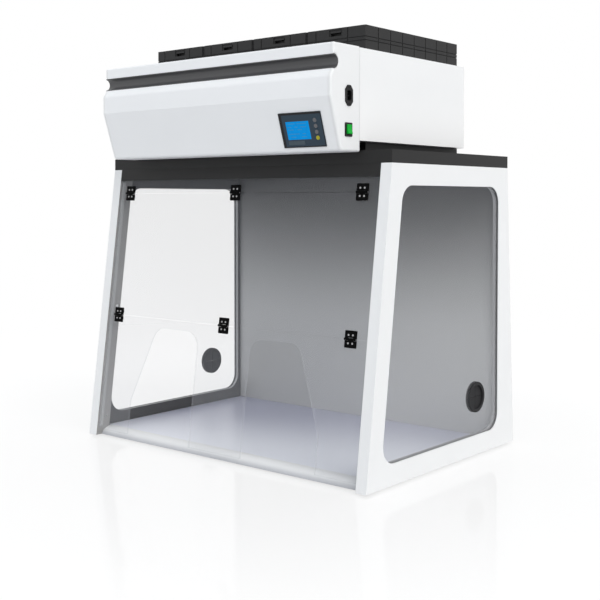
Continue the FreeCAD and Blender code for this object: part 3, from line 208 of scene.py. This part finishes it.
def paint(name, colour, roughness, peel_scale=420, peel_depth=0.00004, edge=0.0008,
          gloss=0.5):
    """An even paint or plastic: faint cloudiness, a fine surface grain and soft edges."""
    material, tree, shader = new_finish(name)
    shader.inputs["Roughness"].default_value = roughness
    shader.inputs["Specular IOR Level"].default_value = gloss
    place = tree.nodes.new("ShaderNodeTexCoord")
    place.name = "place"
    cloud = tree.nodes.new("ShaderNodeTexNoise")
    cloud.inputs["Scale"].default_value = 7
    cloud.inputs["Detail"].default_value = 3
    tree.links.new(place.outputs["Object"], cloud.inputs["Vector"])
    shade = tree.nodes.new("ShaderNodeMix")
    shade.data_type = "RGBA"
    shade.inputs["A"].default_value = (*[0.98 * part for part in colour], 1)
    shade.inputs["B"].default_value = (*[min(1, 1.02 * part) for part in colour], 1)
    tree.links.new(cloud.outputs["Fac"], shade.inputs["Factor"])
    tree.links.new(shade.outputs["Result"], shader.inputs["Base Color"])
    peel = tree.nodes.new("ShaderNodeTexNoise")
    peel.inputs["Scale"].default_value = peel_scale
    peel.inputs["Detail"].default_value = 2
    tree.links.new(place.outputs["Object"], peel.inputs["Vector"])
    rounded = tree.nodes.new("ShaderNodeBevel")
    rounded.inputs["Radius"].default_value = edge
    bump = tree.nodes.new("ShaderNodeBump")
    bump.inputs["Distance"].default_value = peel_depth
    bump.inputs["Strength"].default_value = 0.6
    tree.links.new(peel.outputs["Fac"], bump.inputs["Height"])
    tree.links.new(rounded.outputs["Normal"], bump.inputs["Normal"])
    tree.links.new(bump.outputs["Normal"], shader.inputs["Normal"])
    return material


def second_colour(material, mask, colour):
    """Where the mask is 1, the paint has another colour."""
    tree = material.node_tree
    skin = tree.nodes["Principled BSDF"].inputs["Base Color"]
    split = tree.nodes.new("ShaderNodeMix")
    split.data_type = "RGBA"
    tree.links.new(mask, split.inputs["Factor"])
    tree.links.new(skin.links[0].from_socket, split.inputs["A"])
    split.inputs["B"].default_value = (*colour, 1)
    tree.links.new(split.outputs["Result"], skin)


def step_mask(tree, value, start, end):
    """0 up to start and 1 from end on, with a soft step between them."""
    step = tree.nodes.new("ShaderNodeMapRange")
    step.interpolation_type = "SMOOTHSTEP"
    step.inputs["From Min"].default_value = start
    step.inputs["From Max"].default_value = end
    tree.links.new(value, step.inputs["Value"])
    return step.outputs["Result"]


def along(tree, source, direction):
    """How far a point or a normal reaches along a direction of the hood."""
    reach = tree.nodes.new("ShaderNodeVectorMath")
    reach.operation = "DOT_PRODUCT"
    reach.inputs[1].default_value = direction
    tree.links.new(tree.nodes["place"].outputs[source], reach.inputs[0])
    return reach.outputs["Value"]


def blend_along(material, source, direction, start, end, colour):
    """Blends the paint to another colour along a direction, from start to end."""
    tree = material.node_tree
    mask = step_mask(tree, along(tree, source, direction), start, end)
    second_colour(material, mask, colour)


def dress(material, *names):
    """Gives CAD nodes their finish."""
    for name in names:
        for slot in nodes[name].material_slots:
            slot.material = material


tray_paint = paint("tray_paint", white_colour, satin)
# Painted shade: the tray's lip turns grey towards its foot, where shade falls under it.
blend_along(tray_paint, "Object", (0, 0, 1), tray_foot_top, tray_foot_full, tray_foot_painted_shade)
dress(tray_paint, "base_tray")
for name, inward in (("side_frame_left", 1), ("side_frame_right", -1)):
    frame_paint = paint(name + "_paint", white_colour, satin)
    # The stiles' inner faces, picked by the way they face, are grey.
    blend_along(frame_paint, "Normal", (inward, 0, 0), start=0.7, end=0.8, colour=stile_grey)
    dress(frame_paint, name)

# Inside each side frame a liner clamps the window. It is painted dark grey, and has a lighter
# grey on the inside of its opening. Next to the stile it has the same grey as the stiles'
# inner faces.
liner_grey = (0.076, 0.077, 0.079)
liner_rim = (0.38, 0.38, 0.39)
liner_face_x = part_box("side_liner_right")[0].x
front_foot_y = -0.3450
front_slope = 0.1321
window_front_run = 0.0565
window_front = front_foot_y + window_front_run
paint_step = 0.0002
for name, outward in (("side_liner_left", -1), ("side_liner_right", 1)):
    liner_paint = paint(name + "_paint", liner_grey, 0.5)
    blend_along(liner_paint, "Object", (0, 1, -front_slope), start=window_front,
                end=window_front - paint_step, colour=stile_grey)
    blend_along(liner_paint, "Object", (outward, 0, 0), start=liner_face_x + paint_step,
                end=liner_face_x + 3 * paint_step, colour=liner_rim)
    dress(liner_paint, name)

# The side windows are clear cast acrylic with polished edges, held in rings of translucent
# silicone. A pane shows as a faint veil, a painted reflection of the bright room, and its
# edges are painted brighter, as a painted highlight.
pane_veil = 0.066
edge_painted_highlight = 0.14
seal_veil = 0.16
head_veil = (0.425, 0.44, 0.475)
side_foot_painted_reflection = (0.78, 0.79, 0.82)
veil_top = 0.70


def clear_sheet(name, facing, foot_painted_reflection):
    """Clear acrylic; facing is the direction that the sheet's two large faces look in.

    The veil is painted paler near the foot, as a painted reflection of the floor.
    """
    material, tree, shader = new_finish(name)
    shader.inputs["Roughness"].default_value = 0.06
    place = tree.nodes.new("ShaderNodeTexCoord")
    place.name = "place"
    shade = tree.nodes.new("ShaderNodeMix")
    # Painted reflection: the veil's colour is paler towards the foot.
    shade.data_type = "RGBA"
    shade.inputs["A"].default_value = (*foot_painted_reflection, 1)
    shade.inputs["B"].default_value = (*head_veil, 1)
    rise = step_mask(tree, along(tree, "Object", (0, 0, 1)), 0.0, veil_top)
    tree.links.new(rise, shade.inputs["Factor"])
    tree.links.new(shade.outputs["Result"], shader.inputs["Base Color"])
    flatness = tree.nodes.new("ShaderNodeMath")
    flatness.operation = "ABSOLUTE"
    tree.links.new(along(tree, "Normal", facing), flatness.inputs[0])
    # Painted highlight: faces turned away from the sheet's facing, its edges, are more opaque
    # and brighter.
    veil = tree.nodes.new("ShaderNodeMapRange")
    veil.inputs["From Min"].default_value = 0.75
    veil.inputs["From Max"].default_value = 0.95
    veil.inputs["To Min"].default_value = edge_painted_highlight
    veil.inputs["To Max"].default_value = pane_veil
    tree.links.new(flatness.outputs[0], veil.inputs["Value"])
    tree.links.new(veil.outputs["Result"], shader.inputs["Alpha"])
    return material


side_acrylic = clear_sheet("side_acrylic", (1, 0, 0), side_foot_painted_reflection)
dress(side_acrylic, "side_window_left", "side_window_right")
silicone = paint("silicone", (0.40, 0.405, 0.415), 0.4, peel_scale=900, peel_depth=0.00005)
silicone.node_tree.nodes["Principled BSDF"].inputs["Alpha"].default_value = seal_veil
dress(silicone, "window_seals")

# Each window carries a cable port of black moulded rubber, pressed into its hole, with
# crossed slits in the membrane. Four pads of the same rubber carry the hood.
rubber = paint("matt_rubber", (0.020, 0.020, 0.022), 0.8, peel_scale=1500,
               peel_depth=0.00008, edge=0.0006, gloss=0.3)
dress(rubber, "cable_port_left", "cable_port_right", "foot_pads")

# The work surface is a laminate board in a pale blue-grey with a fine speckle. It lies loose
# in the tray. Painted light makes it paler towards the open front and the right.
laminate_colour = (0.50, 0.512, 0.635)
laminate_painted_light = (0.90, 0.92, 1.0)
laminate_speck = (0.40, 0.42, 0.52)
pale_start = -0.25
pale_full = 0.30
laminate = paint("laminate", laminate_colour, 0.34, peel_scale=900, peel_depth=0.00002)
# Painted light: the board is paler where more light falls, towards the front and the right.
blend_along(laminate, "Object", (0.35, -1, 0), pale_start, pale_full, laminate_painted_light)
tree = laminate.node_tree
speck = tree.nodes.new("ShaderNodeTexNoise")
speck.inputs["Scale"].default_value = 260
speck.inputs["Detail"].default_value = 4
tree.links.new(tree.nodes["place"].outputs["Object"], speck.inputs["Vector"])
speck_mask = step_mask(tree, speck.outputs["Fac"], start=0.60, end=0.95)
second_colour(laminate, speck_mask, laminate_speck)
dress(laminate, "worktop")

# The back wall of the chamber is steel sheet painted mid grey. Painted shade makes it darker
# towards the ceiling.
wall_grey = (0.52, 0.522, 0.524)
wall_head_painted_shade = (0.065, 0.066, 0.068)
wall_shade_low = 0.28
wall_shade_high = 0.80
wall_paint = paint("wall_paint", wall_grey, 0.5)
# Painted shade: the wall turns dark towards the ceiling.
blend_along(wall_paint, "Object", (0, 0, 1), wall_shade_low, wall_shade_high,
            wall_head_painted_shade)
dress(wall_paint, "back_liner")

# Behind it two square zinc-plated tubes stand between the wall and the white rear cover,
# which leans forwards a little. Button-head screws hold the cover on.
cover_lean = 3.114
cover_top_y = 0.320
cover_top_z = 0.777
cover_rows = (0.045, 0.390, 0.735)
cover_columns = (-0.455, -0.152, 0.152, 0.455)
screw_head = 0.0034
screw_height = 0.0016
screw_seat = 0.45 * screw_height


def metal(name, colour, roughness, brush_scale, brush_depth):
    """Bare metal with the fine lines of rolling or brushing along X."""
    material, tree, shader = new_finish(name)
    shader.inputs["Base Color"].default_value = (*colour, 1)
    shader.inputs["Metallic"].default_value = 1.0
    place = tree.nodes.new("ShaderNodeTexCoord")
    stretch = tree.nodes.new("ShaderNodeMapping")
    stretch.inputs["Scale"].default_value = (1, 14, 14)
    tree.links.new(place.outputs["Object"], stretch.inputs["Vector"])
    lines = tree.nodes.new("ShaderNodeTexNoise")
    lines.inputs["Scale"].default_value = brush_scale
    tree.links.new(stretch.outputs["Vector"], lines.inputs["Vector"])
    gloss = tree.nodes.new("ShaderNodeMapRange")
    gloss.inputs["To Min"].default_value = roughness - 0.07
    gloss.inputs["To Max"].default_value = roughness + 0.07
    tree.links.new(lines.outputs["Fac"], gloss.inputs["Value"])
    tree.links.new(gloss.outputs["Result"], shader.inputs["Roughness"])
    bump = tree.nodes.new("ShaderNodeBump")
    bump.inputs["Distance"].default_value = brush_depth
    tree.links.new(lines.outputs["Fac"], bump.inputs["Height"])
    tree.links.new(bump.outputs["Normal"], shader.inputs["Normal"])
    return material


def pick_faces(piece, wanted):
    """Leaves only the wanted faces selected in edit mode."""
    bpy.ops.mesh.select_mode(type="FACE")
    bpy.ops.mesh.select_all(action="DESELECT")
    shape = bmesh.from_edit_mesh(piece.data)
    for face in shape.faces:
        face.select_set(wanted(face))
    bmesh.update_edit_mesh(piece.data)


def settle(piece, place, turn):
    """Turns and moves a piece, and leaves its place in the mesh."""
    piece.location = place
    piece.rotation_euler = [math.radians(angle) for angle in turn]
    bpy.ops.object.transform_apply(location=True, rotation=True, scale=True)


def button_screw(radius, height, material):
    """A button-head screw with a round socket, at the origin; its head looks up."""
    deselect_all()
    bpy.ops.mesh.primitive_cylinder_add(vertices=24, radius=radius, depth=height,
                                        location=(0, 0, 0))
    screw = bpy.context.object
    bpy.ops.object.mode_set(mode="EDIT")
    pick_faces(screw, lambda face: face.normal.z > 0.9)
    bpy.ops.mesh.bevel(offset=0.62 * height, segments=3, affect="EDGES")
    pick_faces(screw, lambda face: face.normal.z > 0.99)
    bpy.ops.mesh.inset(thickness=0.28 * radius)
    bpy.ops.mesh.inset(thickness=0.04 * radius, depth=-0.55 * height)
    bpy.ops.object.mode_set(mode="OBJECT")
    bpy.ops.object.shade_smooth_by_angle(angle=math.radians(35))
    screw.data.materials.append(material)
    return screw


def set_screws(pattern, places, turn):
    """Sets a copy of the screw at each named place, then takes the pattern away."""
    for name, place in places:
        deselect_all()
        screw = pattern.copy()
        screw.data = pattern.data.copy()
        screw.name = name
        bpy.context.collection.objects.link(screw)
        screw.select_set(True)
        bpy.context.view_layer.objects.active = screw
        settle(screw, place, turn)
        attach(screw, "cabinet")
    bpy.data.objects.remove(pattern)


white_paint = paint("white_paint", white_colour, satin)
dress(white_paint, "rear_cover")
zinc = metal("zinc_plate", (0.58, 0.59, 0.60), roughness=0.42, brush_scale=30,
             brush_depth=0.00003)
dress(zinc, "rear_posts")
bright_steel = metal("bright_steel", (0.62, 0.62, 0.63), roughness=0.3, brush_scale=60,
                     brush_depth=0.00001)
cover_screws = []
for row, z in enumerate(cover_rows):
    y = cover_top_y + (cover_top_z - z) * math.tan(math.radians(cover_lean))
    for column, x in enumerate(cover_columns):
        cover_screws.append(("cover_screw_%d_%d" % (row, column), (x, y + screw_seat, z)))
set_screws(button_screw(screw_head, screw_height, bright_steel), cover_screws,
           (cover_lean - 90, 0, 0))

# The top frame, the apron under it and the collar below the fan housing are folded steel in
# a satin anthracite paint.
anthracite = paint("anthracite_paint", (0.0095, 0.0095, 0.0098), 0.5, gloss=0.3)
dress(anthracite, "top_frame", "front_apron", "head_collar")

# Under the top frame a slotted steel sheet closes the chamber, held by screws from below. A
# pre-filter board of bonded fibres lies on it.
ceiling_columns = (-0.468, 0, 0.468)
ceiling_rows = (-0.184, 0.268)
ceiling_paint = paint("ceiling_paint", (0.13, 0.131, 0.134), 0.5)
dress(ceiling_paint, "ceiling_grille")
fibre_board = paint("bonded_fibre", (0.60, 0.60, 0.56), 0.95, peel_scale=260,
                    peel_depth=0.0015, edge=0.001)
dress(fibre_board, "prefilter_panel")
ceiling_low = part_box("ceiling_grille")[0].z
ceiling_screws = [("ceiling_screw_%d_%d" % (column, row), (x, y, ceiling_low - screw_seat))
                  for column, x in enumerate(ceiling_columns)
                  for row, y in enumerate(ceiling_rows)]
set_screws(button_screw(screw_head, screw_height, bright_steel), ceiling_screws,
           (180, 0, 0))

# The fan housing is a box of folded steel in the same white paint, screwed shut at the back.
# Its white is painted a little lighter, and paler still near its foot, as painted light. A
# painted shade line darkens it along its joint with the fascia.
housing_white_and_painted_light = (0.885, 0.89, 0.90)
housing_foot_painted_light = (0.97, 0.97, 0.975)
housing_foot_top = 1.00
housing_foot_full = 0.83
joint_painted_shade = (0.30, 0.305, 0.32)
joint_back = 0.2410
joint_front = 0.2432
housing_rows = (0.850, 1.040)
housing_columns = (-0.365, -0.122, 0.122, 0.365)
# Painted light: the housing's white is lighter than the frames' white paint.
housing_paint = paint("housing_paint", housing_white_and_painted_light, satin)
# Painted light: the housing turns paler towards its foot, where it meets the dark top frame.
blend_along(housing_paint, "Object", (0, 0, 1), housing_foot_top, housing_foot_full,
            housing_foot_painted_light)
# Painted shade: a narrow grey band on the housing, next to the fascia's end caps.
blend_along(housing_paint, "Object", (0, -1, 0), joint_back, joint_front, joint_painted_shade)
dress(housing_paint, "housing_shell")
housing_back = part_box("housing_shell")[1].y
housing_screws = [("housing_screw_%d_%d" % (row, column), (x, housing_back + screw_seat, z))
                  for row, z in enumerate(housing_rows)
                  for column, x in enumerate(housing_columns)]
set_screws(button_screw(screw_head, screw_height, bright_steel), housing_screws, (-90, 0, 0))

# On the housing floor a zinc-plated plate carries two fans: flared rings, black impellers
# and cast motors under folded bridges. A closed power supply sits in the fascia.
cast_alloy = metal("cast_alloy", (0.50, 0.50, 0.51), roughness=0.5, brush_scale=200,
                   brush_depth=0.00006)
impeller_plastic = paint("impeller_plastic", (0.02, 0.02, 0.022), 0.5)
dress(zinc, "fan_deck", "inlet_rings", "motor_bridges")
dress(cast_alloy, "fan_motors", "power_supply")
dress(impeller_plastic, "impeller_left", "impeller_right")

# The front fascia is a folded steel shell between two end caps, in the white paint. The
# shell's white is painted lighter and a little bluer than the caps', as painted light. The
# caps have a softer edge. A half-round insert of dark grey plastic lines the groove along it.
fascia_white_and_painted_light = (0.89, 0.90, 0.92)
cap_edge = 0.003
# Painted light: the shell's white is lighter and bluer than the caps' white paint.
fascia_paint = paint("fascia_paint", fascia_white_and_painted_light, satin)
dress(fascia_paint, "front_fascia")
cap_paint = paint("cap_paint", white_colour, satin, edge=cap_edge)
dress(cap_paint, "fascia_end_left", "fascia_end_right")
groove_plastic = paint("groove_plastic", (0.070, 0.070, 0.073), 0.36)
dress(groove_plastic, "groove_trim")

# The control panel on the fascia's slanted face is a plate with a satin slate film. Black
# strips lie along its edges, widest at the left and the top, and a plain paler strip is stuck
# on below the display.
face_lean = 17.76
face_foot_y = -0.3220
face_foot_z = 0.8045
panel_lift = 0.0020
film_step = 0.0003
panel_low = (0.2380, 0.0125)
panel_high = (0.3700, 0.0995)
border_left = 0.0085
border_right = 0.0020
border_top = 0.0055
border_bottom = 0.0030
strip_low = (0.2555, 0.0196)
strip_high = (0.3060, 0.0293)
strip_corner = 0.0006
border_corner = 0.0001


def plate_on_face(name, low, high, thickness, lift, corner):
    """A thin plate on the fascia's slanted face; low and high are X and height up the face."""
    deselect_all()
    bpy.ops.mesh.primitive_plane_add(size=1, location=(0, 0, 0))
    plate = bpy.context.object
    plate.name = name
    plate.scale = (high[0] - low[0], high[1] - low[1], 1)
    bpy.ops.object.transform_apply(location=False, rotation=False, scale=True)
    bpy.ops.object.mode_set(mode="EDIT")
    bpy.ops.mesh.select_all(action="SELECT")
    bpy.ops.mesh.bevel(offset=corner, segments=3, affect="VERTICES")
    bpy.ops.mesh.select_all(action="SELECT")
    bpy.ops.mesh.extrude_region_move(TRANSFORM_OT_translate={"value": (0, 0, thickness)})
    bpy.ops.mesh.select_all(action="SELECT")
    bpy.ops.mesh.normals_make_consistent(inside=False)
    bpy.ops.object.mode_set(mode="OBJECT")
    settle(plate, ((low[0] + high[0]) / 2, (low[1] + high[1]) / 2, lift), (0, 0, 0))
    settle(plate, (0, face_foot_y, face_foot_z), (90 + face_lean, 0, 0))
    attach(plate, "cabinet")
    return plate


slate_film = paint("slate_film", (0.023, 0.044, 0.066), 0.4, peel_scale=1600,
                   peel_depth=0.00002, edge=0.0004, gloss=0.25)
dress(slate_film, "control_panel")
border_film = paint("border_film", (0.008, 0.008, 0.010), 0.45, peel_scale=1600,
                    peel_depth=0.00002, edge=0.0002, gloss=0.25)
for name, low, high in (
        ("border_left", panel_low, (panel_low[0] + border_left, panel_high[1])),
        ("border_right", (panel_high[0] - border_right, panel_low[1]), panel_high),
        ("border_top", (panel_low[0] + border_left, panel_high[1] - border_top),
         (panel_high[0] - border_right, panel_high[1])),
        ("border_bottom", (panel_low[0] + border_left, panel_low[1]),
         (panel_high[0] - border_right, panel_low[1] + border_bottom))):
    border = plate_on_face(name, low, high, film_step, panel_lift, border_corner)
    border.data.materials.append(border_film)
strip_film = paint("strip_film", (0.060, 0.085, 0.105), 0.5, peel_scale=1600,
                   peel_depth=0.00002, edge=0.0002, gloss=0.25)
strip = plate_on_face("panel_strip", strip_low, strip_high, film_step, panel_lift,
                      strip_corner)
strip.data.materials.append(strip_film)

# The display is lit blue behind a clear front and shows a few plain bars. Four round keys
# stand in the panel's holes, the lowest of them yellow, with their board behind.
display_low = (0.2565, 0.0325)
bar_height = 0.0022
bar_thickness = 0.00005
bar_corner = 0.0003
bar_rows = (
    (0.0385, ((0.004, 0.024), (0.034, 0.030))),
    (0.0300, ((0.004, 0.012), (0.026, 0.010), (0.044, 0.018))),
    (0.0235, ((0.004, 0.018), (0.034, 0.014))),
    (0.0130, ((0.004, 0.034), (0.048, 0.010))),
    (0.0055, ((0.010, 0.016), (0.044, 0.016))),
)


def lit_glass(name, deep, pale):
    """A lit liquid-crystal layer: fine dots between two blues, under a smooth front."""
    material, tree, shader = new_finish(name)
    shader.inputs["Base Color"].default_value = (0.001, 0.03, 0.09, 1)
    shader.inputs["Roughness"].default_value = 0.25
    shader.inputs["Specular IOR Level"].default_value = 0.06
    shader.inputs["Emission Strength"].default_value = 0.95
    place = tree.nodes.new("ShaderNodeTexCoord")
    dots = tree.nodes.new("ShaderNodeTexNoise")
    dots.inputs["Scale"].default_value = 160
    dots.inputs["Detail"].default_value = 4
    tree.links.new(place.outputs["Object"], dots.inputs["Vector"])
    shade = tree.nodes.new("ShaderNodeMix")
    shade.data_type = "RGBA"
    shade.inputs["A"].default_value = (*deep, 1)
    shade.inputs["B"].default_value = (*pale, 1)
    tree.links.new(dots.outputs["Fac"], shade.inputs["Factor"])
    tree.links.new(shade.outputs["Result"], shader.inputs["Emission Color"])
    return material


lit_display = lit_glass("lit_display", (0.0, 0.20, 0.56), (0.0, 0.28, 0.68))
dress(lit_display, "display_window")
lit_bar = lit_glass("lit_bar", (0.02, 0.18, 0.40), (0.04, 0.24, 0.50))
for row, (rise, bars) in enumerate(bar_rows):
    for column, (start, length) in enumerate(bars):
        low = (display_low[0] + start, display_low[1] + rise)
        high = (low[0] + length, low[1] + bar_height)
        bar = plate_on_face("display_bar_%d_%d" % (row, column), low, high, bar_thickness,
                            panel_lift, bar_corner)
        bar.data.materials.append(lit_bar)
board_lacquer = paint("board_lacquer", (0.02, 0.16, 0.07), 0.35)
dress(board_lacquer, "display_board")
grey_key = paint("grey_key", (0.14, 0.14, 0.15), 0.45, edge=0.0006, gloss=0.3)
yellow_key = paint("yellow_key", (0.40, 0.37, 0.02), 0.45, edge=0.0006, gloss=0.3)
dress(yellow_key, "panel_key_1")
dress(grey_key, "panel_key_2", "panel_key_3", "panel_key_4")

# On the right end cap sit the mains inlet, held by two small blackened screws, and the
# switch. Both are black moulded plastic. The rocker is green.
socket_plastic = paint("socket_plastic", (0.006, 0.006, 0.0065), 0.45, peel_scale=1500,
                       peel_depth=0.00003, edge=0.0005, gloss=0.25)
dress(socket_plastic, "power_inlet", "switch_bezel")
rocker_plastic = paint("rocker_plastic", (0.004, 0.40, 0.035), 0.4, edge=0.0006, gloss=0.12)
dress(rocker_plastic, "switch_rocker")
inlet_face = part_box("power_inlet")[1].x
inlet_y = -0.2945
inlet_z = 0.9370
inlet_pitch = 0.0195
inlet_screw_head = 0.0021
inlet_screw_height = 0.0012
inlet_screw_seat = 0.0004
inlet_screws = [("inlet_screw_%d" % number,
                 (inlet_face + inlet_screw_seat, inlet_y, inlet_z + side * inlet_pitch))
                for number, side in enumerate((-1, 1))]
set_screws(button_screw(inlet_screw_head, inlet_screw_height, socket_plastic), inlet_screws,
           (0, 90, 0))

# The filter cassettes stand on the roof in two tiers and lift out by hand. They are moulded
# in black plastic with a leather-like grain.
cassette_plastic = paint("cassette_plastic", (0.013, 0.013, 0.0135), 0.55, peel_scale=700,
                         peel_depth=0.0001, edge=0.0008, gloss=0.35)
dress(cassette_plastic, "filter_lower_tier", "filter_upper_1", "filter_upper_2",
      "filter_upper_3", "filter_upper_4")

# The fixed strip and the two folding sashes are clear cast acrylic, with the arm openings
# cut and polished. The closed sashes lean on light grey plastic strips on the stiles, and
# pale plugs close the stiles' upper holes.
sash_lean = math.radians(7.526)
# Painted reflection: the sashes' veil is paler near their foot, and their edges carry a
# painted highlight.
sash_foot_painted_reflection = (0.60, 0.61, 0.66)
sash_facing = (0, -math.cos(sash_lean), math.sin(sash_lean))
sash_acrylic = clear_sheet("sash_acrylic", sash_facing, sash_foot_painted_reflection)
dress(sash_acrylic, "fixed_strip", "sash_upper", "sash_lower")
pale_plastic = paint("pale_plastic", (0.80, 0.81, 0.82), 0.5)
dress(pale_plastic, "stile_plugs")
strip_plastic = paint("strip_plastic", (0.42, 0.423, 0.43), 0.5)
dress(strip_plastic, "rest_strips")

# The hinges are moulded in black plastic and turn on steel pins. Steel screws and nuts hold
# them to the panes.
hinge_plastic = paint("hinge_plastic", (0.0020, 0.0020, 0.0022), 0.7, peel_scale=1400,
                      peel_depth=0.00003, edge=0.0005, gloss=0.05)
dress(hinge_plastic, "hinge_leaves_fixed", "hinge_leaves_upper_sash",
      "hinge_leaves_lower_sash")
screw_steel = metal("screw_steel", (0.40, 0.40, 0.41), roughness=0.35, brush_scale=60,
                    brush_depth=0.00001)
dress(screw_steel, "hinge_pins_top", "hinge_pins_middle", "hinge_screws_fixed",
      "hinge_screws_upper_sash", "hinge_screws_lower_sash")
